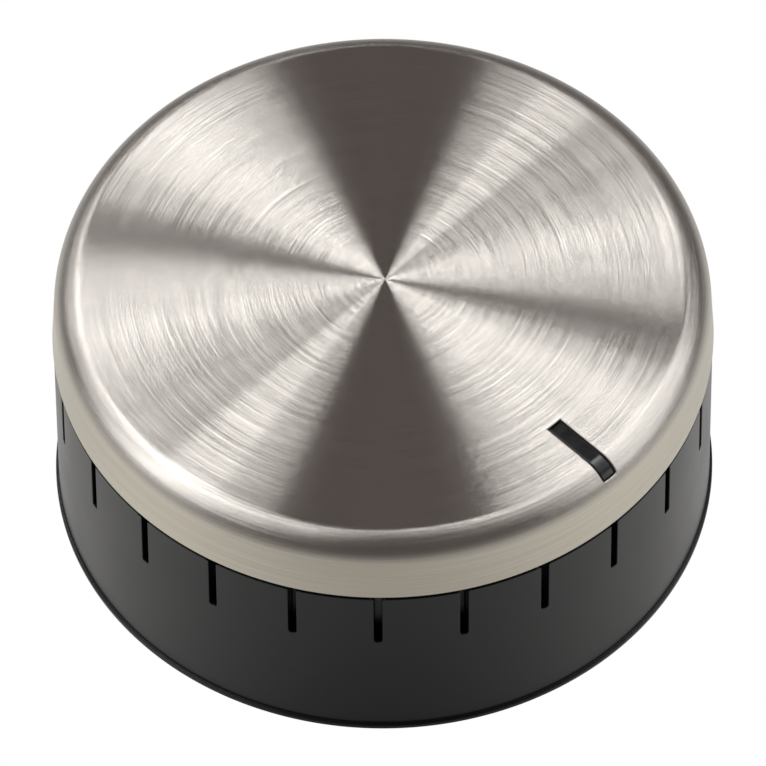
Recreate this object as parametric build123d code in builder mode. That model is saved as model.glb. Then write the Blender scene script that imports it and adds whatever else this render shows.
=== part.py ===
"""Thermostat knob for a cooker or oven: a drawn steel cap pressed over a black moulding,
pushed onto a 6 mm D shaft.

Frame: millimetres, +Z along the shaft towards the face, origin at the centre of the base
rim, pointer line towards -Y.
"""

from build123d import *
import os
from math import cos, radians, sin, tan

# Steel cap
cap_radius = 20.05       # outside of the shoulder, where the wall begins
shoulder_radius = 1.8    # outside radius of the rolled shoulder
face_height = 18.1       # flat face above the base
cap_edge_height = 13.3   # height of the cut lower edge
cap_draft = 3.0          # degrees the wall leans out towards its lower edge
sheet = 0.5              # sheet thickness
edge_break = 0.1         # burr taken off the lower edge

# Pointer line: a slot in the cap with a rib of the moulding in it
pointer_length = 3.4     # flat stretch, from the shoulder towards the centre
pointer_turn = 56.0      # degrees the line runs on round the shoulder
pointer_width = 1.1      # slot width
pointer_corner = 0.2     # corner radius of the slot's outer end
pointer_clearance = 0.05 # gap between rib and slot, all round
pointer_recess = 0.1     # rib below the steel surface

# Moulding, outside
skirt_step = 0.05        # skirt in from the cap's lower edge
skirt_draft = 0.15       # degrees the skirt narrows towards its base
lip_overhang = 0.18      # bead round the base, past the skirt
lip_height = 0.35
lip_edge_break = 0.08    # chamfer on the bead's corners
shadow_gap = 0.2         # between the cap's edge and the skirt's ledge
glue_film = 0.1          # between cap and moulding
groove_count = 24
groove_width = 0.52
groove_depth = 1.0       # from the skirt's outside
groove_length = 4.35     # below the ledge
groove_corner = 0.18     # radius in the groove's closed end

# Moulding, inside
skirt_wall = 2.0         # at the base rim
hollow_draft = 0.5       # degrees, so that the core draws out downwards
hollow_corner = 0.8      # chamfer where the skirt's inside meets the deck
rim_edge_break = 0.3     # inner edge of the base rim
deck_thickness = 1.8
rib_count = 4
rib_thickness = 1.1
rib_foot = 5.0           # height of the ribs' lower edge
hub_wall = 2.2           # round the shaft
hub_recess = 1.2         # hub mouth above the base rim
hub_draft = 0.5          # degrees

# Socket for the D shaft
shaft_diameter = 6.0
shaft_across_flat = 4.5  # from the flat to the back of the shaft
shaft_fit = 0.05         # clearance on the radius and at the flat
lead_in_diameter = 6.5   # round mouth that finds the shaft
lead_in_depth = 2.5
lead_in_chamfer = 0.4
socket_depth = 11.0      # from the hub mouth

# Leaf spring that bears on the shaft's flat
leaf_thickness = 0.3
leaf_width = 3.6
leaf_foot = 1.0          # straight end that lies on the pocket's back
leaf_preload = 0.1       # leaf past the shaft's flat, until the shaft pushes it back
pocket_depth = 1.0       # behind the shaft's flat
pocket_height = 7.5
pocket_clearance = 0.1   # round the leaf's edges and ends

# Worked out from the sizes above
face_radius = cap_radius - shoulder_radius
shoulder_height = face_height - shoulder_radius
ledge_height = cap_edge_height - shadow_gap
spigot_inset = sheet + glue_film
deck_height = face_height - spigot_inset
deck_underside = deck_height - deck_thickness
shaft_flat = shaft_across_flat - shaft_diameter / 2
socket_radius = shaft_diameter / 2 + shaft_fit
hub_radius = lead_in_diameter / 2 + hub_wall
pocket_foot = hub_recess + lead_in_depth
pocket_back = shaft_flat + pocket_depth
pointer_plane = Plane(origin=(0, 0, 0), x_dir=(0, -1, 0), z_dir=(-1, 0, 0))


def wall_radius(inset, height):
    """Radius of the cap's outer wall at a height, moved in by inset."""
    lean = radians(cap_draft)
    return face_radius + (shoulder_radius - inset) / cos(lean) + (shoulder_height - height) * tan(lean)


skirt_radius = wall_radius(0, cap_edge_height) - skirt_step
skirt_foot = skirt_radius - ledge_height * tan(radians(skirt_draft))
lip_radius = skirt_foot + lip_overhang


def cap_outline(inset):
    """Half section of the cap's outer form, moved in by inset and closed at its lower edge."""
    crease = (face_radius, face_height - inset)
    shoulder = CenterArc(
        (face_radius, shoulder_height), shoulder_radius - inset, 90, cap_draft - 90
    )
    lower_edge = (wall_radius(inset, cap_edge_height), cap_edge_height)
    Polyline(shoulder @ 1, lower_edge, (0, cap_edge_height), (0, face_height - inset), crease)


def slot_outline():
    """Side view of the slot: upright inner end, outer end square to the shoulder."""
    reach = 2 * shoulder_radius
    turn = radians(pointer_turn)
    tip = (face_radius + reach * sin(turn), shoulder_height + reach * cos(turn))
    above = face_height + reach
    inner_end = face_radius - pointer_length
    Polyline(
        (inner_end, shoulder_height),
        (face_radius, shoulder_height),
        tip,
        (tip[0], above),
        (inner_end, above),
        close=True,
    )


def circles(part, radius):
    """Circular edges with this radius, lowest first."""
    arcs = part.edges().filter_by(GeomType.CIRCLE)
    return arcs.filter_by(lambda edge: abs(edge.radius - radius) < 1e-4).sort_by(Axis.Z)


def round_pointer_tip(line, radius):
    """Round the two edges of the outer end, which stand square to the shoulder."""
    turn = radians(pointer_turn)
    along = Axis((0, 0, 0), (0, -sin(turn), cos(turn)))
    fillet(line.edges().filter_by(along), radius)


# Cutter for the slot in the cap
with BuildPart() as pointer_slot:
    with BuildSketch(pointer_plane):
        with BuildLine():
            slot_outline()
        make_face()
    extrude(amount=pointer_width / 2, both=True)
    round_pointer_tip(pointer_slot, pointer_corner)

# Cap: revolved sheet section, slot through the face and round the shoulder
with BuildPart() as cap:
    with BuildSketch(Plane.XZ):
        with BuildLine():
            cap_outline(0)
        make_face()
    revolve(axis=Axis.Z)
    with BuildSketch(Plane.XZ):
        with BuildLine():
            cap_outline(sheet)
        make_face()
    revolve(axis=Axis.Z, mode=Mode.SUBTRACT)
    chamfer(circles(cap, wall_radius(0, cap_edge_height)), edge_break)
    add(pointer_slot.part, mode=Mode.SUBTRACT)

# Rib of the moulding that fills the slot, following the face and the shoulder
with BuildPart() as pointer_rib:
    with BuildSketch(pointer_plane):
        with BuildLine():
            slot_outline()
        make_face()
        offset(amount=-pointer_clearance, kind=Kind.INTERSECTION, mode=Mode.REPLACE)
    extrude(amount=pointer_width / 2 - pointer_clearance, both=True)
    round_pointer_tip(pointer_rib, pointer_corner - pointer_clearance)
    with BuildSketch(Plane.XZ):
        with BuildLine():
            cap_outline(pointer_recess)
        make_face()
    revolve(axis=Axis.Z, mode=Mode.INTERSECT)

# Cutter for one groove: round-cornered closed end, open at the top so that the mould draws
with BuildPart() as groove:
    with BuildSketch(Plane.XZ.offset(skirt_radius - groove_depth)) as groove_front:
        groove_rise = groove_length + face_height - ledge_height
        with Locations((0, ledge_height - groove_length)):
            Rectangle(groove_width, groove_rise, align=(Align.CENTER, Align.MIN))
        fillet(groove_front.vertices().group_by(Axis.Y)[0], groove_corner)
    extrude(amount=groove_depth + lip_overhang)

# Moulding
with BuildPart() as body:
    # Skirt with its base bead, and above the ledge the spigot and deck inside the cap
    with BuildSketch(Plane.XZ):
        with BuildLine():
            Polyline(
                (0, 0),
                (lip_radius, 0),
                (lip_radius, lip_height),
                (skirt_foot, lip_height),
                (skirt_radius, ledge_height),
                (wall_radius(spigot_inset, ledge_height), ledge_height),
                (wall_radius(spigot_inset, shoulder_height), shoulder_height),
                (face_radius, deck_height),
                (0, deck_height),
                close=True,
            )
        make_face()
    revolve(axis=Axis.Z)
    chamfer(circles(body, lip_radius), lip_edge_break)

    # Hollow underside
    hollow_foot = skirt_foot - skirt_wall
    hollow_top = hollow_foot - deck_underside * tan(radians(hollow_draft))
    with BuildSketch(Plane.XZ) as hollow:
        with BuildLine():
            Polyline((0, 0), (hollow_foot, 0), (hollow_top, deck_underside), (0, deck_underside), close=True)
        make_face()
        chamfer(hollow.vertices().sort_by_distance((hollow_top, deck_underside))[0], hollow_corner)
    revolve(axis=Axis.Z, mode=Mode.SUBTRACT)
    chamfer(circles(body, hollow_foot), rim_edge_break)

    # Ribs from the hub to the skirt, half way between the X and Y axes
    with BuildSketch(Plane.XY.offset(rib_foot)):
        with PolarLocations(0, rib_count, start_angle=180 / rib_count):
            Rectangle(hollow_foot, rib_thickness, align=(Align.MIN, Align.CENTER))
    extrude(amount=deck_underside - rib_foot)

    # Hub
    with BuildSketch(Plane.XY.offset(hub_recess)):
        Circle(hub_radius)
    extrude(amount=deck_underside - hub_recess, taper=-hub_draft)

    # D socket, its round lead-in and the spring's pocket behind the flat
    with BuildSketch(Plane.XY.offset(hub_recess)):
        Circle(socket_radius)
        with Locations((0, shaft_flat + shaft_fit)):
            Rectangle(
                2 * socket_radius, socket_radius, align=(Align.CENTER, Align.MIN), mode=Mode.SUBTRACT
            )
    extrude(amount=socket_depth, mode=Mode.SUBTRACT)
    with BuildSketch(Plane.XY.offset(hub_recess)):
        Circle(lead_in_diameter / 2)
    extrude(amount=lead_in_depth, mode=Mode.SUBTRACT)
    chamfer(circles(body, lead_in_diameter / 2)[0], lead_in_chamfer)
    with BuildSketch(Plane.XY.offset(pocket_foot)):
        Rectangle(leaf_width + 2 * pocket_clearance, pocket_back, align=(Align.CENTER, Align.MIN))
    extrude(amount=pocket_height, mode=Mode.SUBTRACT)

    with PolarLocations(0, groove_count):
        add(groove.part, mode=Mode.SUBTRACT)
    add(pointer_rib.part)

# Leaf spring: straight ends on the pocket's back, bowed between them onto the shaft's flat
with BuildPart() as shaft_spring:
    end_line = pocket_back - leaf_thickness / 2
    bow_line = shaft_flat - leaf_preload + leaf_thickness / 2
    leaf_low = pocket_foot + pocket_clearance
    leaf_high = pocket_foot + pocket_height - pocket_clearance
    with BuildSketch(Plane.YZ):
        with BuildLine():
            Line((end_line, leaf_low), (end_line, leaf_low + leaf_foot))
            ThreePointArc(
                (end_line, leaf_low + leaf_foot),
                (bow_line, (leaf_low + leaf_high) / 2),
                (end_line, leaf_high - leaf_foot),
            )
            Line((end_line, leaf_high - leaf_foot), (end_line, leaf_high))
        trace(line_width=leaf_thickness)
    extrude(amount=leaf_width / 2, both=True)

cap.part.label = "cap"
body.part.label = "body"
shaft_spring.part.label = "shaft_spring"

os.makedirs("parts", exist_ok=True)
export_step(cap.part, "parts/cap.step")
export_step(body.part, "parts/body.step")
export_step(shaft_spring.part, "parts/shaft_spring.step")
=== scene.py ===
from math import asin, atan2, cos, hypot, pi, radians, sin, sqrt, tan

import bpy
from mathutils import Matrix, Vector


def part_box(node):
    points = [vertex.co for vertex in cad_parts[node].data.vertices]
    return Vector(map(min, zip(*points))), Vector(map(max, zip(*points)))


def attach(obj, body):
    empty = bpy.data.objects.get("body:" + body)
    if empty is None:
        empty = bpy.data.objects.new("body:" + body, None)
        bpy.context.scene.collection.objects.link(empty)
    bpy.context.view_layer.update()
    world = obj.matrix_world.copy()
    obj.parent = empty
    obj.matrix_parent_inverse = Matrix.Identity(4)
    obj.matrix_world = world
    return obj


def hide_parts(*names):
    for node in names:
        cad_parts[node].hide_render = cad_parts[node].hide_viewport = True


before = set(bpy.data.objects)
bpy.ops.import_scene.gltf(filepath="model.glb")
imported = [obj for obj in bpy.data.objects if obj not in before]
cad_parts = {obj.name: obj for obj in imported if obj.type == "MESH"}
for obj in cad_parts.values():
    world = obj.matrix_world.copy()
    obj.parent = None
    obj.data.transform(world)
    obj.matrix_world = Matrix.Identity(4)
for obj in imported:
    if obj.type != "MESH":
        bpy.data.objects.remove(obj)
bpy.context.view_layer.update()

mm = 0.001
capLow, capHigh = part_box("cap")
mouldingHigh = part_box("body")[1]
springLow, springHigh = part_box("shaft_spring")
print("frame loaded:", ", ".join(sorted(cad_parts)))


# Shells: points with their normals, and faces over them

def newShell():
    return {"points": [], "normals": [], "faces": []}


def addPoint(shell, point, normal):
    shell["points"].append(point)
    shell["normals"].append(normal)
    return len(shell["points"]) - 1


def bridge(shell, first, second, closed=True):
    count = len(first) if closed else len(first) - 1
    for i in range(count):
        j = (i + 1) % len(first)
        shell["faces"].append((first[i], first[j], second[j], second[i]))


def addRing(shell, station, azimuths):
    # station: radius, height, and the normal's outward and upward parts
    radius, height, out, up = station
    ring = []
    for azimuth in azimuths:
        c, s = cos(azimuth), sin(azimuth)
        point = Vector((radius * c, radius * s, height))
        ring.append(addPoint(shell, point, Vector((out * c, out * s, up))))
    return ring


def closeRing(shell, ring, height, up):
    # fan from a ring to a point on the axis
    middle = addPoint(shell, Vector((0, 0, height)), Vector((0, 0, up)))
    for i in range(len(ring)):
        shell["faces"].append((ring[i], ring[(i + 1) % len(ring)], middle))


def faceOutwards(shell):
    # turns each face over that looks against its points' normals
    points, normals = shell["points"], shell["normals"]
    for number, face in enumerate(shell["faces"]):
        looks = Vector((0, 0, 0))
        for i in range(len(face)):
            looks += points[face[i - 1]].cross(points[face[i]])
        if looks.dot(sum((normals[i] for i in face), Vector((0, 0, 0)))) < 0:
            shell["faces"][number] = tuple(reversed(face))


def makePiece(name, shell, material, slot, *nodes):
    faceOutwards(shell)
    mesh = bpy.data.meshes.new(name)
    mesh.from_pydata([p * mm for p in shell["points"]], [], shell["faces"])
    mesh.polygons.foreach_set("use_smooth", [True] * len(mesh.polygons))
    mesh.normals_split_custom_set_from_vertices([n.normalized() for n in shell["normals"]])
    mesh.update()
    piece = bpy.data.objects.new(name, mesh)
    bpy.context.scene.collection.objects.link(piece)
    mesh.materials.append(material)
    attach(piece, "root")
    if nodes:
        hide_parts(*nodes)
    print(name, "made:", len(mesh.polygons), "faces")
    return piece


def corner(centre, radius, start, end, steps):
    # stations round a corner, from one direction of the normal to another, in degrees above outward
    stations = []
    for i in range(steps + 1):
        a = radians(start + (end - start) * i / steps)
        stations.append((centre[0] + radius * cos(a), centre[1] + radius * sin(a), cos(a), sin(a)))
    return stations


# Node trees

def newMaterial(name):
    material = bpy.data.materials.new(name)
    material.use_nodes = True
    tree = material.node_tree
    return material, tree, tree.nodes["Principled BSDF"]


def addNode(tree, kind, values=(), **settings):
    made = tree.nodes.new("ShaderNode" + kind)
    for key, value in settings.items():
        setattr(made, key, value)
    for key, value in dict(values).items():
        if isinstance(value, bpy.types.NodeSocket):
            tree.links.new(value, made.inputs[key])
        else:
            made.inputs[key].default_value = value
    return made


def maths(tree, operation, first, second=0.0, clamp=False):
    made = addNode(tree, "Math", {0: first, 1: second}, operation=operation, use_clamp=clamp)
    return made.outputs[0]


def vectorMaths(tree, operation, first, second=(0, 0, 0)):
    made = addNode(tree, "VectorMath", {0: first, 1: second}, operation=operation)
    return made.outputs["Value"] if operation in ("DOT_PRODUCT", "LENGTH") else made.outputs["Vector"]


def remap(tree, value, low, high, toLow, toHigh):
    made = addNode(tree, "MapRange", {0: value, 1: low, 2: high, 3: toLow, 4: toHigh})
    return made.outputs[0]


def scaled(tree, direction, factor):
    made = addNode(tree, "VectorMath", {0: direction, 3: factor}, operation="SCALE")
    return made.outputs[0]


def colourBetween(tree, factor, first, second):
    made = addNode(tree, "Mix", {0: factor, 6: (*first, 1), 7: (*second, 1)}, data_type="RGBA")
    return made.outputs[2]


def patches(tree, place, size, detail):
    # soft noise, with patches of a size in millimetres
    return addNode(tree, "TexNoise", {"Vector": place, "Scale": 1 / (size * mm), "Detail": detail}).outputs[0]


def vary(tree, shader, noise, colour, paleColour, smooth, rough):
    # lets the noise carry the colour and the roughness between two values each
    mix = remap(tree, noise, 0.3, 0.7, 0.0, 1.0)
    tree.links.new(colourBetween(tree, mix, colour, paleColour), shader.inputs["Base Color"])
    tree.links.new(remap(tree, noise, 0.3, 0.7, smooth, rough), shader.inputs["Roughness"])


# Brushed stainless steel

brushing = {
    "colour": (0.76, 0.726, 0.678),
    "streakColour": (0.70, 0.667, 0.622),
    "paintedWallReflection": (1.0, 0.97, 0.89),
    "tintDepth": (0.7, 1.7),      # mm below the face, where the painted reflection tint sets in
    "roughness": 0.2,
    "roughnessSpread": 0.016,
    "hairWidth": 0.0022,          # mm, the finest lines of the brush
    "hairSlope": 2.2,             # how steeply their sides tip the light, on the face
    "wallHairSlope": 0.5,         # and on the shoulder and the wall
    "shoulderCross": 0.8,         # how far they cross each other there
    "creaseAt": (0.06, 0.004),    # mm below the face, where one changes to the other
    "steadyFrom": (12, 18),       # mm from the axis, where the brush comes to run true
    "centre": (0.385, 0.186),     # where the brush turned, mm off the axis
    "wander": 0.013,              # how far a stroke strays from its circle
    "strokeWidth": 0.11,          # mm
    "strokeTurn": 1.4,            # strokes to a radian
    "wallStrokes": 0.8,           # how much of the strokes is left below the face
}


def makeBrushedSteel():
    material, tree, shader = newMaterial("brushedSteel")
    place = addNode(tree, "TexCoord").outputs["Object"]
    apart = addNode(tree, "SeparateXYZ", {0: place})
    x, y, z = apart.outputs

    # the centre of the brushing, which runs true to the axis by the time it reaches the shoulder
    fromAxis = vectorMaths(tree, "LENGTH", addNode(tree, "CombineXYZ", {0: x, 1: y}).outputs[0])
    steadyLow, steadyHigh = brushing["steadyFrom"]
    stray = remap(tree, fromAxis, steadyLow * mm, steadyHigh * mm, 1.0, 0.0)
    dx = maths(tree, "SUBTRACT", x, maths(tree, "MULTIPLY", stray, brushing["centre"][0] * mm))
    dy = maths(tree, "SUBTRACT", y, maths(tree, "MULTIPLY", stray, brushing["centre"][1] * mm))
    flat = addNode(tree, "CombineXYZ", {0: dx, 1: dy}).outputs[0]
    radius = vectorMaths(tree, "LENGTH", flat)
    outward = vectorMaths(tree, "NORMALIZE", flat)
    around = vectorMaths(tree, "CROSS_PRODUCT", (0, 0, 1), outward)

    # strokes: narrow across the brushing, long round it
    inward = maths(tree, "SUBTRACT", radius, z)
    across = maths(tree, "MULTIPLY", inward, 1 / (brushing["strokeWidth"] * mm))
    turn = vectorMaths(tree, "MULTIPLY", outward, (brushing["strokeTurn"],) * 3)
    strokePlace = vectorMaths(tree, "ADD", turn, addNode(tree, "CombineXYZ", {2: across}).outputs[0])
    strokeLook = {"Vector": strokePlace, "Scale": 1.0, "Detail": 3.0, "Roughness": 0.6}
    stroke = addNode(tree, "TexNoise", strokeLook).outputs[0]
    widePlace = vectorMaths(tree, "MULTIPLY", strokePlace, (0.6, 0.6, 0.16))
    wide = addNode(tree, "TexNoise", {"Vector": widePlace, "Scale": 1.0, "Detail": 2.0}).outputs[0]

    # each stroke strays a little from its circle
    lean = maths(tree, "MULTIPLY", maths(tree, "SUBTRACT", stroke, 0.5), brushing["wander"] * 2)
    sweep = maths(tree, "MULTIPLY", maths(tree, "SUBTRACT", wide, 0.5), brushing["wander"])
    lean = maths(tree, "ADD", lean, sweep)
    below, crease = (capHigh.z - depth * mm for depth in brushing["creaseAt"])
    onFace = remap(tree, z, below, crease, brushing["wallStrokes"], 1.0)
    lean = maths(tree, "MULTIPLY", lean, onFace)
    strayed = vectorMaths(tree, "ADD", around, scaled(tree, outward, lean))
    tangent = vectorMaths(tree, "NORMALIZE", strayed)
    tree.links.new(tangent, shader.inputs["Tangent"])

    # the streaks' colour, which fades to an even one below the face
    mix = remap(tree, stroke, 0.35, 0.65, -0.6, 0.4)
    mix = maths(tree, "ADD", maths(tree, "MULTIPLY", mix, onFace), 0.6)
    brushed = colourBetween(tree, mix, brushing["streakColour"], brushing["colour"])
    # painted reflection: the shoulder and wall are tinted warmer, standing in for the warm table they mirror
    tintFrom, tintTo = (capHigh.z - depth * mm for depth in brushing["tintDepth"])
    onWall = remap(tree, z, tintFrom, tintTo, 0.0, 1.0)
    tint = colourBetween(tree, onWall, (1, 1, 1), brushing["paintedWallReflection"])
    tinted = addNode(tree, "Mix", {0: 1.0, 6: brushed, 7: tint}, data_type="RGBA", blend_type="MULTIPLY")
    tree.links.new(tinted.outputs[2], shader.inputs["Base Color"])
    low = brushing["roughness"] - brushing["roughnessSpread"]
    high = brushing["roughness"] + brushing["roughnessSpread"]
    tree.links.new(remap(tree, stroke, 0.3, 0.7, high, low), shader.inputs["Roughness"])

    # the sides of the finest lines tip the light across the brushing
    hairAcross = maths(tree, "MULTIPLY", inward, 1 / (brushing["hairWidth"] * mm))
    hairPlace = vectorMaths(tree, "ADD", turn, addNode(tree, "CombineXYZ", {2: hairAcross}).outputs[0])
    hairs = addNode(tree, "TexNoise", {"Vector": hairPlace, "Scale": 1.0, "Detail": 0.0}).outputs[0]
    slope = remap(tree, z, below, crease, brushing["wallHairSlope"], brushing["hairSlope"])
    tip = maths(tree, "MULTIPLY", maths(tree, "SUBTRACT", hairs, 0.5), slope)
    straight = addNode(tree, "NewGeometry").outputs["Normal"]
    crosswise = vectorMaths(tree, "CROSS_PRODUCT", straight, around)
    tipped = scaled(tree, crosswise, tip)
    # and round the shoulder the strokes cross each other, which spreads the light along them too
    crossPlace = vectorMaths(tree, "ADD", hairPlace, (17.3, 5.1, 8.7))
    crossings = addNode(tree, "TexNoise", {"Vector": crossPlace, "Scale": 1.0, "Detail": 0.0}).outputs[0]
    crossSlope = remap(tree, z, below, crease, brushing["shoulderCross"], 0.0)
    crossTip = maths(tree, "MULTIPLY", maths(tree, "SUBTRACT", crossings, 0.5), crossSlope)
    tips = vectorMaths(tree, "ADD", tipped, scaled(tree, around, crossTip))
    tippedNormal = vectorMaths(tree, "NORMALIZE", vectorMaths(tree, "ADD", straight, tips))
    tree.links.new(tippedNormal, shader.inputs["Normal"])
    shader.inputs["Metallic"].default_value = 1.0
    shader.inputs["Anisotropic"].default_value = 1.0
    shader.inputs["Anisotropic Rotation"].default_value = 0.25
    print("brushed steel mixed")
    return material


# Black moulding

moulding = {
    "colour": (0.0050, 0.0045, 0.0058),
    "paleColour": (0.0070, 0.0065, 0.0080),
    "roughness": 0.3,
    "roughnessSpread": 0.03,
    "clouds": 6.0,                # mm, patches where it is a little paler
    "grain": 0.09,                # mm, one pit of the spark-eroded grain
    "grainDepth": 0.003,
    "grainStrength": 0.35,
    "gloss": 1.46,                # index of refraction
}


def makeBlackMoulding():
    material, tree, shader = newMaterial("blackMoulding")
    place = addNode(tree, "TexCoord").outputs["Object"]
    grain = patches(tree, place, moulding["grain"], 2.0)
    clouds = patches(tree, place, moulding["clouds"], 3.0)
    low = moulding["roughness"] - moulding["roughnessSpread"]
    high = moulding["roughness"] + moulding["roughnessSpread"]
    vary(tree, shader, clouds, moulding["colour"], moulding["paleColour"], low, high)
    depth = moulding["grainDepth"] * mm
    pits = {"Height": grain, "Strength": moulding["grainStrength"], "Distance": depth}
    tree.links.new(addNode(tree, "Bump", pits).outputs[0], shader.inputs["Normal"])
    shader.inputs["IOR"].default_value = moulding["gloss"]
    print("black moulding mixed")
    return material


ribFinish = {
    "colour": (0.003, 0.003, 0.003),
    "paleColour": (0.005, 0.005, 0.005),
    "roughness": (0.2, 0.27),
    "clouds": 0.8,                # mm
    "gloss": 1.6,
}


def makePolishedRib():
    # the rib is polished in the mould, and the skirt is not
    material, tree, shader = newMaterial("polishedRib")
    place = addNode(tree, "TexCoord").outputs["Object"]
    clouds = patches(tree, place, ribFinish["clouds"], 2.0)
    vary(tree, shader, clouds, ribFinish["colour"], ribFinish["paleColour"], *ribFinish["roughness"])
    shader.inputs["IOR"].default_value = ribFinish["gloss"]
    print("polished rib mixed")
    return material


# Spring steel

springFinish = {
    "colour": (0.30, 0.30, 0.31),
    "paleColour": (0.42, 0.42, 0.43),
    "roughness": (0.26, 0.38),
    "lines": (9000, 9000, 700),   # how often the rolling lines change, to a metre each way
}


def makeSpringSteel():
    material, tree, shader = newMaterial("springSteel")
    place = addNode(tree, "TexCoord").outputs["Object"]
    rolled = vectorMaths(tree, "MULTIPLY", place, springFinish["lines"])
    lines = addNode(tree, "TexNoise", {"Vector": rolled, "Scale": 1.0, "Detail": 2.0}).outputs[0]
    vary(tree, shader, lines, springFinish["colour"], springFinish["paleColour"], *springFinish["roughness"])
    shader.inputs["Metallic"].default_value = 1.0
    print("spring steel mixed")
    return material


# Drawn cap: pressed from sheet, with the pointer's slot through the face and the shoulder

drawnCap = {
    "radius": 20.05,              # where the wall begins under the shoulder
    "shoulder": 1.8,
    "lean": 3.0,                  # degrees the wall opens out downwards
    "sheet": 0.5,
    "edgeRound": 0.16,            # outside of the cut lower edge
    "innerEdgeRound": 0.06,
    "columns": 720,
    "shoulderRows": 30,
    "slotWidth": 1.1,
    "slotFlat": 3.4,              # straight part, on the face
    "slotTurn": 56.0,             # degrees round the shoulder
    "slotTipRound": 0.2,
    "slotHeelRound": 0.04,
    "slotEdgeRound": 0.07,
    "slotColumns": 6,             # kept clear on each side of the slot
}

faceHeight = capHigh.z / mm
capEdge = capLow.z / mm
faceRadius = drawnCap["radius"] - drawnCap["shoulder"]
shoulderHeight = faceHeight - drawnCap["shoulder"]
shoulderSweep = radians(90 - drawnCap["lean"])
shoulderLength = drawnCap["shoulder"] * shoulderSweep
slotHeel = faceRadius - drawnCap["slotFlat"]
slotTip = faceRadius + drawnCap["shoulder"] * radians(drawnCap["slotTurn"])


def capSkin(along, depth=0.0):
    # station on the cap at a length from the middle of the face, and at a depth below the outer skin
    if along <= faceRadius:
        return along, faceHeight - depth, 0.0, 1.0
    angle = min((along - faceRadius) / drawnCap["shoulder"], shoulderSweep)
    out, up = sin(angle), cos(angle)
    reach = drawnCap["shoulder"] - depth
    down = max(along - faceRadius - shoulderLength, 0.0)
    radius = faceRadius + reach * out + down * up
    height = shoulderHeight + reach * up - down * out
    return radius, height, out, up


def capPoint(sideways, along, depth):
    # point at a distance sideways from the pointer line, with its skin normal
    radius, height, out, up = capSkin(along, depth)
    y = -sqrt(radius * radius - sideways * sideways)
    point = Vector((sideways, y, height))
    normal = Vector((out * sideways / radius, out * y / radius, up))
    return point, normal


def slotEdge(sideways, along, halfWidth, heel, tip, heelRound, tipRound):
    # nearest place on the slot's outline, and the way out from it
    middle = (heel + tip) / 2
    rounding = tipRound if along > middle else heelRound
    cx = max(-halfWidth + rounding, min(halfWidth - rounding, sideways))
    cs = max(heel + rounding, min(tip - rounding, along))
    dx, ds = sideways - cx, along - cs
    length = hypot(dx, ds)
    dx, ds = dx / length, ds / length
    return cx + dx * rounding, cs + ds * rounding, dx, ds


def skinRing(shell, outline, side, inset, depth, turn):
    # ring along an outline on the skin. turn: 0 faces up from the skin, 90 faces across the outline,
    # outwards where side is 1 and inwards where it is -1
    ring = []
    for sideways, along, dx, ds in outline:
        point, normal = capPoint(sideways - side * dx * inset, along - side * ds * inset, depth)
        ahead = capPoint(sideways, along + 0.01, depth)[0] - capPoint(sideways, along - 0.01, depth)[0]
        across = Vector((side, 0, 0)) * dx + ahead.normalized() * side * ds
        ring.append(addPoint(shell, point, normal * cos(radians(turn)) + across * sin(radians(turn))))
    return ring


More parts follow.
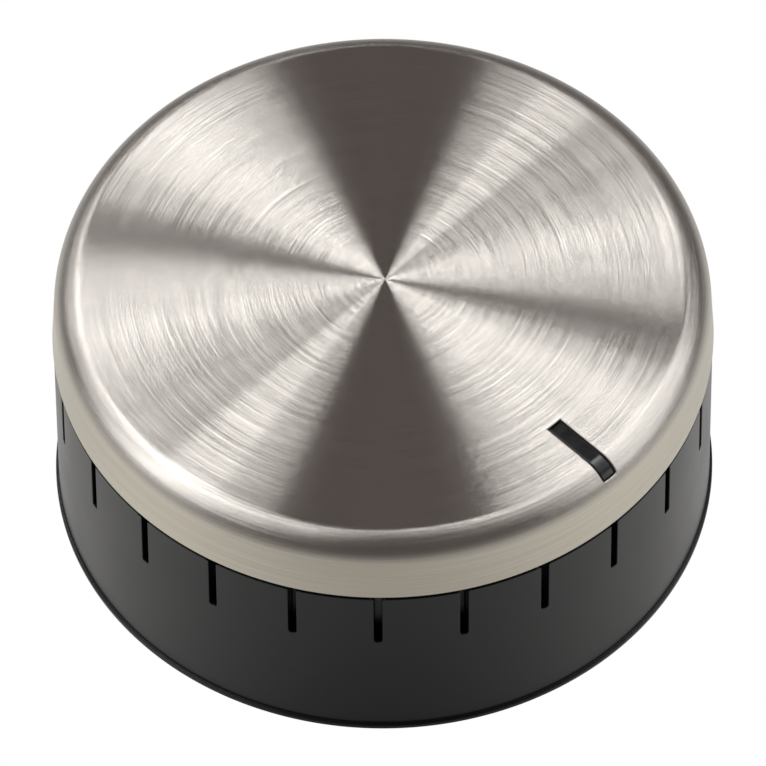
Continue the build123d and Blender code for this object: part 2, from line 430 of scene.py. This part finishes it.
def makeDrawnCap(steel):
    shell = newShell()
    columns = drawnCap["columns"]
    azimuths = [2 * pi * i / columns - pi / 2 for i in range(columns)]
    halfSpan = drawnCap["slotColumns"]
    sheet = drawnCap["sheet"]
    # rows from the middle outwards, closer together round the slot's inner end
    alongs = [1.0, 5.0, 10.0, 13.0]
    alongs += [slotHeel + step for step in (-0.4, -0.2, 0.0, 0.2, 0.6, 1.2, 2.0, 2.8)] + [faceRadius]
    rows = drawnCap["shoulderRows"]
    alongs += [faceRadius + shoulderLength * (i + 1) / rows for i in range(rows)]
    holeStart = 4
    holeEnd = min(i for i, along in enumerate(alongs) if along > slotTip + 0.25)

    # outer and inner skin on the same rows
    rings = {}
    for depth in (0.0, sheet):
        side = 1 if depth == 0 else -1
        grid = []
        for along in alongs:
            radius, height, out, up = capSkin(along, depth)
            grid.append(addRing(shell, (radius, height, out * side, up * side), azimuths))
        rings[depth] = grid
        hole = set(range(-halfSpan, halfSpan))
        for r in range(len(alongs) - 1):
            for c in range(columns):
                beside = c if c < columns / 2 else c - columns
                if holeStart <= r < holeEnd and beside in hole:
                    continue
                d = (c + 1) % columns
                shell["faces"].append((grid[r][c], grid[r + 1][c], grid[r + 1][d], grid[r][d]))
        closeRing(shell, grid[0], faceHeight - depth, side)

    # the hole's rim on the grid, once round
    rim = [(holeStart, c) for c in range(-halfSpan, halfSpan)]
    rim += [(r, halfSpan) for r in range(holeStart, holeEnd)]
    rim += [(holeEnd, c) for c in range(halfSpan, -halfSpan, -1)]
    rim += [(r, -halfSpan) for r in range(holeEnd, holeStart, -1)]
    outline = []
    half = drawnCap["slotWidth"] / 2
    roundings = (drawnCap["slotHeelRound"], drawnCap["slotTipRound"])
    for r, c in rim:
        sideways = capSkin(alongs[r])[0] * sin(2 * pi * c / columns)
        outline.append(slotEdge(sideways, alongs[r], half, slotHeel, slotTip, *roundings))

    edge = drawnCap["slotEdgeRound"]
    last = [rings[0.0][r][c % columns] for r, c in rim]
    for turn in range(0, 91, 15):
        a = radians(turn)
        ring = skinRing(shell, outline, -1, edge * (1 - sin(a)), edge * (1 - cos(a)), turn)
        bridge(shell, last, ring)
        last = ring
    # small corner where the slot meets the inner skin
    burr = 0.03
    ring = skinRing(shell, outline, -1, 0.0, sheet - burr, 90)
    bridge(shell, last, ring)
    under = skinRing(shell, outline, -1, burr, sheet, 180)
    bridge(shell, ring, under)
    bridge(shell, under, [rings[sheet][r][c % columns] for r, c in rim])

    # wall and its cut edge, from the outer skin round to the inner one
    lean = radians(drawnCap["lean"])
    low = drawnCap["edgeRound"]
    inner = drawnCap["innerEdgeRound"]
    outerFoot = capSkin(faceRadius + shoulderLength + (shoulderHeight - capEdge) / cos(lean))
    wallRadius = outerFoot[0] + (outerFoot[1] - capEdge) * tan(lean)
    innerRadius = wallRadius - sheet / cos(lean)
    wall = []
    for height in (16.0, 15.4, 14.8, 14.2, 13.9, capEdge + low + 0.1):
        wall.append((wallRadius - (height - capEdge) * tan(lean), height, cos(lean), sin(lean)))
    wall += corner((wallRadius - low / cos(lean), capEdge + low), low, drawnCap["lean"], -90, 8)
    wall += corner((innerRadius + inner, capEdge + inner), inner, -90, -180, 4)
    for height in (14.0, 15.0, 16.0):
        wall.append((innerRadius - (height - capEdge) * tan(lean), height, -cos(lean), -sin(lean)))
    last = rings[0.0][-1]
    for station in wall:
        ring = addRing(shell, station, azimuths)
        bridge(shell, ring, last)
        last = ring
    bridge(shell, rings[sheet][-1], last)
    return makePiece("drawnCap", shell, steel, "brushed_cap", "cap")


# Pointer rib: stands up from the moulding and fills the slot

pointerRib = {
    "clearance": 0.05,
    "recess": 0.1,                # below the steel
    "edgeRound": 0.1,
    "foot": 0.75,                 # below the steel, where it runs into the deck
    "heelRound": 0.04,
    "steps": 48,                  # along each side
    "endSteps": 8,                # across each end
}


def makePointerRib(polished):
    shell = newShell()
    half = drawnCap["slotWidth"] / 2 - pointerRib["clearance"]
    heel = slotHeel + pointerRib["clearance"]
    tip = slotTip - pointerRib["clearance"]
    heelRound, tipRound = pointerRib["heelRound"], drawnCap["slotTipRound"] - pointerRib["clearance"]
    steps, endSteps = pointerRib["steps"], pointerRib["endSteps"]
    stops = [heel + (tip - heel) * i / steps for i in range(steps + 1)]
    across = [-half + 2 * half * i / endSteps for i in range(1, endSteps)]
    spine = [(-half, s) for s in stops] + [(x, tip) for x in across]
    spine += [(half, s) for s in reversed(stops)] + [(-x, heel) for x in across]
    outline = []
    for sideways, along in spine:
        # pushed outwards a little, so that each finds its own place on the outline
        dx = 0.3 * (sideways / half)
        ds = 0.3 * ((along - (heel + tip) / 2) / ((tip - heel) / 2)) ** 15
        outline.append(slotEdge(sideways + dx, along + ds, half, heel, tip, heelRound, tipRound))

    edge = pointerRib["edgeRound"]
    top = pointerRib["recess"]
    last = skinRing(shell, outline, 1, 0.0, pointerRib["foot"], 90)
    for turn in range(90, -1, -15):
        a = radians(turn)
        ring = skinRing(shell, outline, 1, edge * (1 - sin(a)), top + edge * (1 - cos(a)), turn)
        bridge(shell, last, ring)
        last = ring
    # crown of the rib, from one long side to the other
    sideCount, endCount = len(stops), len(across)
    left = last[:sideCount]
    tipEnd = last[sideCount:sideCount + endCount]
    right = list(reversed(last[sideCount + endCount:2 * sideCount + endCount]))
    heelEnd = last[2 * sideCount + endCount:]
    bridge(shell, left, right, closed=False)
    shell["faces"].append(tuple([left[-1]] + tipEnd + [right[-1]]))
    shell["faces"].append(tuple([right[0]] + heelEnd + [left[0]]))
    return makePiece("pointerRib", shell, polished, "black_moulding", "body")


# Grip skirt: the moulding's outside with its grooves and base bead, and the hollow inside

gripSkirt = {
    "lipOverhang": 0.18,
    "lipHeight": 0.35,
    "lipRound": 0.09,
    "draft": 0.15,                # degrees, the skirt narrows downwards
    "ledge": 13.1,
    "ledgeRound": 0.05,
    "grooves": 24,
    "grooveWidth": 0.52,
    "grooveDepth": 1.0,
    "grooveLength": 4.35,
    "grooveRound": 0.18,          # closed end
    "grooveEdge": 0.05,
    "wall": 2.0,
    "hollowDraft": 0.5,
    "hollowCorner": 0.8,
    "rimRound": 0.25,
    "deck": 1.8,
    "columnsPerGroove": 28,
    "clearColumns": 3,            # on each side of a groove's middle
    "spigotRadius": 19.6,         # inside the cap, above the ledge
    "spigotTop": 16.2,
    "glueFilm": 0.1,              # between the deck and the cap
}

lipRadius = mouldingHigh.y / mm
skirtFoot = lipRadius - gripSkirt["lipOverhang"]
skirtTop = skirtFoot + gripSkirt["ledge"] * tan(radians(gripSkirt["draft"]))
deckTop = faceHeight - drawnCap["sheet"] - gripSkirt["glueFilm"]
deckUnderside = deckTop - gripSkirt["deck"]
hollowFoot = skirtFoot - gripSkirt["wall"]


def skirtPoint(sideways, height, depth, middle):
    # point beside a groove's middle plane, with the skirt's normal there
    radius = skirtTop - (gripSkirt["ledge"] - height) * tan(radians(gripSkirt["draft"]))
    out = sqrt(radius * radius - sideways * sideways) - depth
    c, s = cos(middle), sin(middle)
    point = Vector((out * c - sideways * s, out * s + sideways * c, height))
    c, s = cos(middle + asin(sideways / radius)), sin(middle + asin(sideways / radius))
    return point, Vector((c, s, 0))


def makeGripSkirt(black):
    shell = newShell()
    grooves = gripSkirt["grooves"]
    perGroove = gripSkirt["columnsPerGroove"]
    columns = grooves * perGroove
    azimuths = [2 * pi * i / columns for i in range(columns)]
    halfSpan = gripSkirt["clearColumns"]
    ledge = gripSkirt["ledge"]
    grooveFoot = ledge - gripSkirt["grooveLength"]
    top = gripSkirt["ledgeRound"]

    # skirt from the ledge down to the bead
    heights = [ledge - top, 12.4, 11.6, 10.8, 10.0, 9.4, 9.15, 8.95, 8.8, 8.65, 8.5]
    holeEnd = len(heights) - 1
    heights += [6.0, 3.0, gripSkirt["lipHeight"] + 0.12]
    lean = radians(gripSkirt["draft"])
    grid = []
    for height in heights:
        radius = skirtTop - (ledge - height) * tan(lean)
        grid.append(addRing(shell, (radius, height, cos(lean), -sin(lean)), azimuths))

    def onGroove(c):
        beside = (c + perGroove // 2) % perGroove - perGroove // 2
        return -halfSpan <= beside < halfSpan

    for r in range(len(heights) - 1):
        for c in range(columns):
            if r < holeEnd and onGroove(c):
                continue
            d = (c + 1) % columns
            shell["faces"].append((grid[r][c], grid[r + 1][c], grid[r + 1][d], grid[r][d]))

    # bead, base rim, hollow and deck underside
    lipRound = gripSkirt["lipRound"]
    lipTop = gripSkirt["lipHeight"]
    foot = skirtFoot + lipTop * tan(lean)
    stations = [(foot, lipTop + 0.06, 1, 0), (foot + 0.02, lipTop + 0.015, 0.7, 0.7)]
    stations += [(foot + 0.06, lipTop, 0, 1)]
    stations += corner((lipRadius - lipRound, lipTop - lipRound), lipRound, 90, 0, 5)
    stations += corner((lipRadius - lipRound, lipRound), lipRound, 0, -90, 5)
    rimRound = gripSkirt["rimRound"]
    stations += corner((hollowFoot + rimRound, rimRound), rimRound, -90, -180, 5)
    hollowLean = radians(gripSkirt["hollowDraft"])
    hollowTop = hollowFoot - deckUnderside * tan(hollowLean)
    hollowCorner = gripSkirt["hollowCorner"]
    for height in (2.0, 5.0, 9.0, deckUnderside - hollowCorner):
        stations.append((hollowFoot - height * tan(hollowLean), height, -1, -0.01))
    for a in range(15, 91, 15):
        out, up = cos(radians(a)), sin(radians(a))
        radius = hollowTop - hollowCorner * (1 - out)
        stations.append((radius, deckUnderside - hollowCorner * (1 - up), -out, -up))
    for radius in (14.0, 9.0, 5.0):
        stations.append((radius, deckUnderside, 0, -1))
    last = grid[-1]
    for station in stations:
        ring = addRing(shell, station, azimuths)
        bridge(shell, ring, last)
        last = ring

    # spigot and deck inside the cap
    spigotFoot = gripSkirt["spigotRadius"]
    spigot = [(spigotFoot, ledge, 0.7, 0.7), (spigotFoot - 0.14, gripSkirt["spigotTop"], 1, 0.1)]
    spigot += [(faceRadius, deckTop, 0.3, 1)]
    spigotRings = [addRing(shell, station, azimuths) for station in spigot]
    for first, second in zip(spigotRings, spigotRings[1:]):
        bridge(shell, first, second)
    closeRing(shell, spigotRings[-1], deckTop, 1)

    # rounded corner of the ledge, left out over the grooves
    ledgeRings = [grid[0]]
    for station in corner((skirtTop - top, ledge - top), top, 0, 90, 3)[1:]:
        ledgeRings.append(addRing(shell, station, azimuths))
    ledgeRings.append(spigotRings[0])
    for c in range(columns):
        if onGroove(c):
            continue
        d = (c + 1) % columns
        for first, second in zip(ledgeRings, ledgeRings[1:]):
            shell["faces"].append((first[c], first[d], second[d], second[c]))

    edge = gripSkirt["grooveEdge"]
    half = gripSkirt["grooveWidth"] / 2
    deep = gripSkirt["grooveDepth"]
    footRound = gripSkirt["grooveRound"]
    openEnd = ledge + 20          # well above, since a groove runs out through the ledge
    wallDepths = (0.3, 0.51, 0.8, deep - 0.06)
    floorRings = ((-0.02, deep - 0.015, 45), (-0.06, deep, 0))
    for groove in range(grooves):
        centre = groove * perGroove
        middle = azimuths[centre]
        rim = [(r, -halfSpan) for r in range(0, holeEnd)]
        rim += [(holeEnd, c) for c in range(-halfSpan, halfSpan)]
        rim += [(r, halfSpan) for r in range(holeEnd, -1, -1)]
        outline = []
        for r, c in rim:
            sideways = skirtTop * sin(2 * pi * c / columns)
            outline.append(slotEdge(sideways, heights[r], half, grooveFoot, openEnd, footRound, 0.01))

        def grooveRing(offset, depth, turn):
            ring = []
            for sideways, height, dx, dz in outline:
                point, normal = skirtPoint(sideways + dx * offset, height + dz * offset, depth, middle)
                across = Vector((-sin(middle) * dx, cos(middle) * dx, dz))
                facing = normal * cos(radians(turn)) - across * sin(radians(turn))
                ring.append(addPoint(shell, point, facing))
            return ring

        last = [grid[r][(centre + c) % columns] for r, c in rim]
        tops = [[], []]
        for turn in range(0, 91, 18):
            a = radians(turn)
            ring = grooveRing(edge * (1 - sin(a)), edge * (1 - cos(a)), turn)
            bridge(shell, last, ring, closed=False)
            last = ring
            tops[0].append(ring[0])
            tops[1].append(ring[-1])
        for depth in wallDepths:
            ring = grooveRing(0.0, depth, 90)
            bridge(shell, last, ring, closed=False)
            last = ring
            if depth < 0.6:        # as deep as the ledge is wide
                tops[0].append(ring[0])
                tops[1].append(ring[-1])
        for offset, depth, turn in floorRings:
            ring = grooveRing(offset, depth, turn)
            bridge(shell, last, ring, closed=False)
            last = ring
        for i in range(len(last) // 2 - 1):
            j = len(last) - 1 - i
            shell["faces"].append((last[i], last[i + 1], last[j - 1], last[j]))
        # ledge beside the groove
        for way, grooveTop in ((-1, tops[0]), (1, tops[1])):
            outer, inner = ((centre + way * c) % columns for c in (halfSpan, halfSpan - 1))
            border = [ring[outer] for ring in ledgeRings] + [spigotRings[0][inner]]
            shell["faces"].append(tuple(border + list(reversed(grooveTop))))
    return makePiece("gripSkirt", shell, black, "black_moulding", "body")


# Shaft hub: tapered boss with a round lead-in, the D socket and the spring's pocket

shaftHub = {
    "mouth": 1.2,                 # above the base rim
    "outerRadius": 5.45,
    "draft": 0.5,
    "leadInRadius": 3.25,
    "leadInDepth": 2.5,
    "leadInChamfer": 0.4,
    "socketRadius": 3.05,
    "socketFlat": 1.55,
    "socketDepth": 11.0,
    "pocketHalf": 1.9,
    "pocketBack": 2.5,
    "pocketHeight": 7.5,
    "edgeRound": 0.12,
    "columns": 288,
}


def makeShaftHub(black):
    shell = newShell()
    hub = shaftHub
    columns = hub["columns"]
    # columns moved onto the corners of the D and of the pocket
    flatHalf = sqrt(hub["socketRadius"] ** 2 - hub["socketFlat"] ** 2)
    keyAngles = [atan2(hub["socketFlat"], flatHalf)]
    keyAngles += [atan2(hub["socketFlat"], hub["pocketHalf"]), atan2(hub["pocketBack"], hub["pocketHalf"])]
    keyAngles += [pi - a for a in keyAngles]
    azimuths = [2 * pi * i / columns for i in range(columns)]
    for key in keyAngles:
        nearest = min(range(columns), key=lambda i: abs(azimuths[i] - key))
        azimuths[nearest] = key

    def outline(pocket):
        # radius and normal of the socket's outline at each azimuth
        places = []
        for a in azimuths:
            c, s = cos(a), sin(a)
            radius, normal = hub["socketRadius"], Vector((-c, -s, 0))
            if s > 0 and radius * s > hub["socketFlat"] - 1e-6:
                radius, normal = hub["socketFlat"] / s, Vector((0, -1, 0))
                if pocket and abs(radius * c) < hub["pocketHalf"] + 1e-6:
                    back = hub["pocketBack"] / s
                    side = hub["pocketHalf"] / max(abs(c), 1e-9)
                    if back <= side:
                        radius, normal = back, Vector((0, -1, 0))
                    else:
                        radius, normal = side, Vector((-1 if c > 0 else 1, 0, 0))
            places.append((radius, normal))
        return places

    def socketRing(pocket, height, facing):
        ring = []
        for a, (radius, normal) in zip(azimuths, outline(pocket)):
            point = Vector((radius * cos(a), radius * sin(a), height))
            ring.append(addPoint(shell, point, normal if facing == "in" else Vector((0, 0, -1))))
        return ring

    lean = radians(hub["draft"])
    mouth = hub["mouth"]
    edge = hub["edgeRound"]
    outer = hub["outerRadius"]
    root = outer + (deckUnderside - mouth) * tan(lean)
    stations = [(root + 0.35, deckUnderside + 0.05, 0.2, -1), (root + 0.1, deckUnderside - 0.1, 0.7, -0.7)]
    stations += [(root, deckUnderside - 0.35, 1, 0)]
    stations += corner((outer - edge, mouth + edge), edge, 0, -90, 5)
    leadIn = hub["leadInRadius"]
    slope = hub["leadInChamfer"]
    stations += [(leadIn + slope + 0.03, mouth, 0, -1), (leadIn + slope - 0.03, mouth + 0.03, -0.7, -0.7)]
    stations += [(leadIn + 0.03, mouth + slope - 0.03, -0.7, -0.7), (leadIn, mouth + slope + 0.03, -1, 0)]
    step = mouth + hub["leadInDepth"]
    stations += [(leadIn, step, -1, 0)]
    last = None
    for station in stations:
        ring = addRing(shell, station, azimuths)
        if last:
            bridge(shell, ring, last)
        last = ring
    top = mouth + hub["socketDepth"]
    pocketTop = step + hub["pocketHeight"]
    # step into the socket and pocket, up to the pocket's roof, across it, and up to the socket's end
    socket = [(addRing(shell, (leadIn, step, 0, -1), azimuths), socketRing(True, step, "down"))]
    socket += [(socketRing(True, step, "in"), socketRing(True, pocketTop, "in"))]
    socket += [(socketRing(True, pocketTop, "down"), socketRing(False, pocketTop, "down"))]
    socket += [(socketRing(False, pocketTop, "in"), socketRing(False, top, "in"))]
    for lower, upper in socket:
        bridge(shell, upper, lower)
    closeRing(shell, socketRing(False, top, "down"), top, -1)
    return makePiece("shaftHub", shell, black, "black_moulding", "body")


# Stiffening ribs between the hub and the skirt

stiffeningRibs = {
    "count": 4,
    "thickness": 1.1,
    "foot": 5.0,
    "edgeRound": 0.2,
    "rootRound": 0.3,
    "draft": 0.5,
}


def makeStiffeningRibs(black):
    shell = newShell()
    rib = stiffeningRibs
    half = rib["thickness"] / 2
    edge = rib["edgeRound"]
    root = rib["rootRound"]
    rootHalf = half + (deckUnderside - rib["foot"]) * tan(radians(rib["draft"]))
    top = deckUnderside + 0.02    # a little into the deck
    # half of the section from the deck down: sideways, height, and the normal's sideways and upward parts
    rounding = [(cos(radians(a)), sin(radians(a))) for a in range(0, 91, 18)]
    section = [(rootHalf + root * (1 - s), top - root * (1 - c), s, -c) for c, s in rounding]
    section += [(half - edge * (1 - c), rib["foot"] + edge * (1 - s), c, -s) for c, s in rounding]
    section += [(-s[0], s[1], -s[2], s[3]) for s in reversed(section)]
    stops = [4.9, 8.0, 12.0, 16.0, 18.1]
    for i in range(rib["count"]):
        angle = 2 * pi * (i + 0.5) / rib["count"]
        along = Vector((cos(angle), sin(angle), 0))
        side = Vector((-sin(angle), cos(angle), 0))
        last = None
        for stop in stops:
            ring = []
            for sideways, height, out, up in section:
                point = along * stop + side * sideways + Vector((0, 0, height))
                ring.append(addPoint(shell, point, side * out + Vector((0, 0, up))))
            if last:
                bridge(shell, last, ring, closed=False)
            last = ring
    return makePiece("stiffeningRibs", shell, black, "black_moulding", "body")


# Leaf spring that bears on the shaft's flat

leafSpring = {
    "thickness": 0.3,
    "foot": 1.0,
    "edgeRound": 0.05,
}


def makeLeafSpring(steel):
    shell = newShell()
    leaf = leafSpring
    half = springHigh.x / mm
    low, high = springLow.z / mm, springHigh.z / mm
    back = springHigh.y / mm - leaf["thickness"] / 2
    bow = springLow.y / mm + leaf["thickness"] / 2
    # arc through the ends of the feet and the crest of the bow
    chord = (high - low) / 2 - leaf["foot"]
    rise = back - bow
    arcRadius = (chord * chord + rise * rise) / (2 * rise)
    sweep = asin(chord / arcRadius)
    line = [(back, low, 0.0), (back, low + leaf["foot"] * 0.9, 0.0)]
    for i in range(25):
        a = -sweep + 2 * sweep * i / 24
        line.append((bow + arcRadius * (1 - cos(a)), (low + high) / 2 + arcRadius * sin(a), a))
    line += [(back, high - leaf["foot"] * 0.9, 0.0), (back, high, 0.0)]
    edge = leaf["edgeRound"]
    thick = leaf["thickness"] / 2
    section = []
    for cx, cy, start in ((half - edge, thick - edge, 0), (-half + edge, thick - edge, 90),
                          (-half + edge, -thick + edge, 180), (half - edge, -thick + edge, 270)):
        for step in range(4):
            a = radians(start + step * 30)
            section.append((cx + edge * cos(a), cy + edge * sin(a), cos(a), sin(a)))
    last = None
    for y, z, a in line:
        away = Vector((0, cos(a), -sin(a)))
        ring = []
        for sideways, out, nx, ny in section:
            point = Vector((sideways, y, z)) + away * out
            ring.append(addPoint(shell, point, Vector((nx, 0, 0)) + away * ny))
        if last:
            bridge(shell, ring, last)
        else:
            shell["faces"].append(tuple(ring))
        last = ring
    shell["faces"].append(tuple(reversed(last)))
    return makePiece("leafSpring", shell, steel, "spring_steel", "shaft_spring")


brushedSteel = makeBrushedSteel()
blackMoulding = makeBlackMoulding()
polishedRib = makePolishedRib()
springSteel = makeSpringSteel()
makeDrawnCap(brushedSteel)
makePointerRib(polishedRib)
makeGripSkirt(blackMoulding)
makeShaftHub(blackMoulding)
makeStiffeningRibs(blackMoulding)
makeLeafSpring(springSteel)


# Studio: white floor, soft boxes round the knob, long lens from above

studio = {
    "floorSize": 4.0,
    "floorDrop": 0.02 * mm,
    "tableLight": 0.68,
    "tableColour": (1.0, 0.99, 0.965),
    "farTable": 0.3,              # share of the table's painted glow left a hand's breadth away
    "spillReach": (40, 110),      # mm from the knob's middle, over which the painted pool of light falls off
    "paintedFrontShade": 0.34,           # painted shadow of the knob on the table in front of it
    "paintedFootShade": 0.6,             # painted deepest at its foot
    "shadeReach": (20, 30),       # mm, over which the painted shadow eases from its depth at the foot to that in front
    "roomColour": (1.0, 0.845, 0.80),
    "roomLight": 0.086,
    "boxDistance": 1.0,
}


def makeFloor():
    half = studio["floorSize"] / 2
    mesh = bpy.data.meshes.new("studioFloor")
    level = -studio["floorDrop"]
    corners = [(-half, -half, level), (half, -half, level), (half, half, level), (-half, half, level)]
    mesh.from_pydata(corners, [], [(0, 1, 2, 3)])
    floor = bpy.data.objects.new("studioFloor", mesh)
    bpy.context.scene.collection.objects.link(floor)
    material, tree, shader = newMaterial("paleFloor")
    # a glowing table: plain white to the camera, softer and warmer to everything that mirrors it. Its glow
    # carries a painted pool of light round the knob and a painted shadow in front of it, deepest at its foot
    seen = addNode(tree, "LightPath").outputs["Is Camera Ray"]
    colour = colourBetween(tree, seen, studio["tableColour"], (1, 1, 1))
    place = addNode(tree, "TexCoord").outputs["Object"]
    away = vectorMaths(tree, "LENGTH", place)
    front = radians(camera["azimuth"])
    outwards = vectorMaths(tree, "NORMALIZE", place)
    facing = vectorMaths(tree, "DOT_PRODUCT", outwards, (sin(front), -cos(front), 0))
    # painted shadow: the glow is dimmed in front of the knob, most of all at its foot
    shade = maths(tree, "POWER", maths(tree, "MAXIMUM", facing, 0.0), 4.0)
    nearEdge, farEdge = (reach * mm for reach in studio["shadeReach"])
    shadeDepth = remap(tree, away, nearEdge, farEdge, studio["paintedFootShade"], studio["paintedFrontShade"])
    shade = maths(tree, "MULTIPLY", shade, shadeDepth)
    # painted pool of light: the glow falls off away from the knob
    nearEdge, farEdge = (reach * mm for reach in studio["spillReach"])
    spill = remap(tree, away, nearEdge, farEdge, 1.0, studio["farTable"])
    table = maths(tree, "MULTIPLY", maths(tree, "SUBTRACT", 1.0, shade), spill)
    table = maths(tree, "MULTIPLY", table, studio["tableLight"])
    light = addNode(tree, "MapRange", {0: seen, 1: 0.0, 2: 1.0, 3: table, 4: 1.0}).outputs[0]
    glow = addNode(tree, "Emission", {"Color": colour, "Strength": light})
    # from below it isn't there, so that the underside can be seen
    below = addNode(tree, "NewGeometry").outputs["Backfacing"]
    clear = addNode(tree, "BsdfTransparent")
    sheet = addNode(tree, "MixShader", {0: below, 1: glow.outputs[0], 2: clear.outputs[0]})
    tree.links.new(sheet.outputs[0], tree.nodes["Material Output"].inputs["Surface"])
    tree.nodes.remove(shader)
    mesh.materials.append(material)


def makeRoom():
    world = bpy.data.worlds.new("studioRoom")
    world.use_nodes = True
    tree = world.node_tree
    room = tree.nodes["Background"]
    room.inputs["Color"].default_value = (*studio["roomColour"], 1)
    room.inputs["Strength"].default_value = studio["roomLight"]
    seen = addNode(tree, "LightPath").outputs["Is Camera Ray"]
    white = addNode(tree, "Background", {"Color": (1, 1, 1, 1), "Strength": 1.0})
    mix = addNode(tree, "MixShader", {0: seen, 1: room.outputs[0], 2: white.outputs[0]})
    tree.links.new(mix.outputs[0], tree.nodes["World Output"].inputs["Surface"])
    bpy.context.scene.world = world


camera = {
    "azimuth": -43.716,
    "elevation": 52.836,
    "roll": -0.503,
    "distance": 0.8696,
    "aim": (0, 0, 0.008),
    "lens": 665.3,
    "shift": (-0.0006, 0.0023),
}


def makeCamera():
    a, e, roll = radians(camera["azimuth"]), radians(camera["elevation"]), radians(camera["roll"])
    back = Vector((sin(a) * cos(e), -cos(a) * cos(e), sin(e)))
    right = Vector((cos(a), sin(a), 0))
    up = back.cross(right)
    right, up = right * cos(roll) + up * sin(roll), up * cos(roll) - right * sin(roll)
    data = bpy.data.cameras.new("camera")
    data.lens = camera["lens"]
    data.sensor_width = 36
    data.shift_x, data.shift_y = camera["shift"]
    data.clip_start, data.clip_end = 0.05, 20
    made = bpy.data.objects.new("camera", data)
    made.matrix_world = Matrix((right, up, back)).transposed().to_4x4()
    made.location = Vector(camera["aim"]) + back * camera["distance"]
    bpy.context.scene.collection.objects.link(made)
    bpy.context.scene.camera = made


# Soft boxes, a metre away, in bands by the least and the most tilt of the metal that mirrors them, in
# degrees. Each lights one sector of the face: its middle, in degrees round from the right, to its watts
softBoxes = {
    "crease": {"tilts": (5, 9), "width": 30, "watts": {270: 0.01}},
    "near": {"tilts": (7, 13), "width": 12, "watts": {
        60: 0.01, 120: 0.03, 132: 0.02, 144: 0.14, 192: 0.27, 204: 0.23, 216: 0.10,
        228: 0.05, 240: 0.14, 300: 0.19, 312: 0.28, 324: 0.09, 336: 0.07, 348: 0.03}},
    "nearLeft": {"tilts": (7, 13), "width": 14, "watts": {179: 0.25}},
    "mid": {"tilts": (13, 20), "width": 12, "watts": {
        195: 0.19, 207: 0.05, 219: 0.12, 231: 0.15, 309: 0.09, 321: 0.22, 333: 0.17}},
    "wide": {"tilts": (20, 28), "width": 12, "watts": {
        171: 0.04, 183: 0.15, 219: 0.04, 231: 0.72, 243: 0.19, 297: 0.07, 309: 0.12,
        321: 0.12, 333: 0.21}},
    "low": {"tilts": (28, 36), "width": 18, "watts": {
        186: 0.27, 204: 0.04, 222: 0.22, 240: 0.24, 300: 0.15, 318: 0.19, 336: 0.56}},
    "lower": {"tilts": (36, 46), "width": 18, "watts": {
        204: 0.04, 222: 0.93, 240: 0.28, 336: 0.09}},
    "lowestRight": {"tilts": (40, 54), "width": 24, "watts": {320: 0.97}},
    "lowestLeft": {"tilts": (46, 56), "width": 24, "watts": {222: 0.50}},
}


def reflected(sector, tilt):
    # where metal leaning towards a sector, by a tilt in degrees, sends the camera's line of sight
    sight = Vector((0, -cos(radians(camera["elevation"])), sin(radians(camera["elevation"]))))
    s, t = radians(sector), radians(tilt)
    normal = Vector((sin(t) * cos(s), sin(t) * sin(s), cos(t)))
    return normal * (2 * normal.dot(sight)) - sight


def makeSoftBox(name, sector, width, low, high, watts):
    # its long sides lie along the sector's edges, so that they fall as clean radial lines on the face
    direction = reflected(sector, (low + high) / 2)
    length = 2 * studio["boxDistance"] * tan(reflected(sector, low).angle(reflected(sector, high)) / 2)
    crosswise = Vector((-sin(radians(sector)), cos(radians(sector)), 0))
    along = crosswise.cross(direction).normalized()
    side = along.cross(direction)
    spread = direction - Vector((0, cos(radians(camera["elevation"])), 0))
    span = 2 * studio["boxDistance"] * spread.xy.length * tan(radians(width / 2)) / abs(side.dot(crosswise))
    turn = Matrix.Rotation(radians(camera["azimuth"]), 3, "Z")
    data = bpy.data.lights.new(name, "AREA")
    data.shape = "RECTANGLE"
    data.size, data.size_y = span, length
    data.energy = watts
    light = bpy.data.objects.new(name, data)
    light.matrix_world = (turn @ Matrix((side, along, direction)).transposed()).to_4x4()
    light.location = Vector(camera["aim"]) + turn @ direction * studio["boxDistance"]
    bpy.context.scene.collection.objects.link(light)


makeFloor()
makeRoom()
makeCamera()
boxCount = 0
for bandName, band in softBoxes.items():
    for sector, watts in band["watts"].items():
        makeSoftBox(bandName + str(sector), sector, band["width"], *band["tilts"], watts)
        boxCount += 1
bpy.context.scene.view_settings.view_transform = "Standard"
print("studio set:", boxCount, "soft boxes")
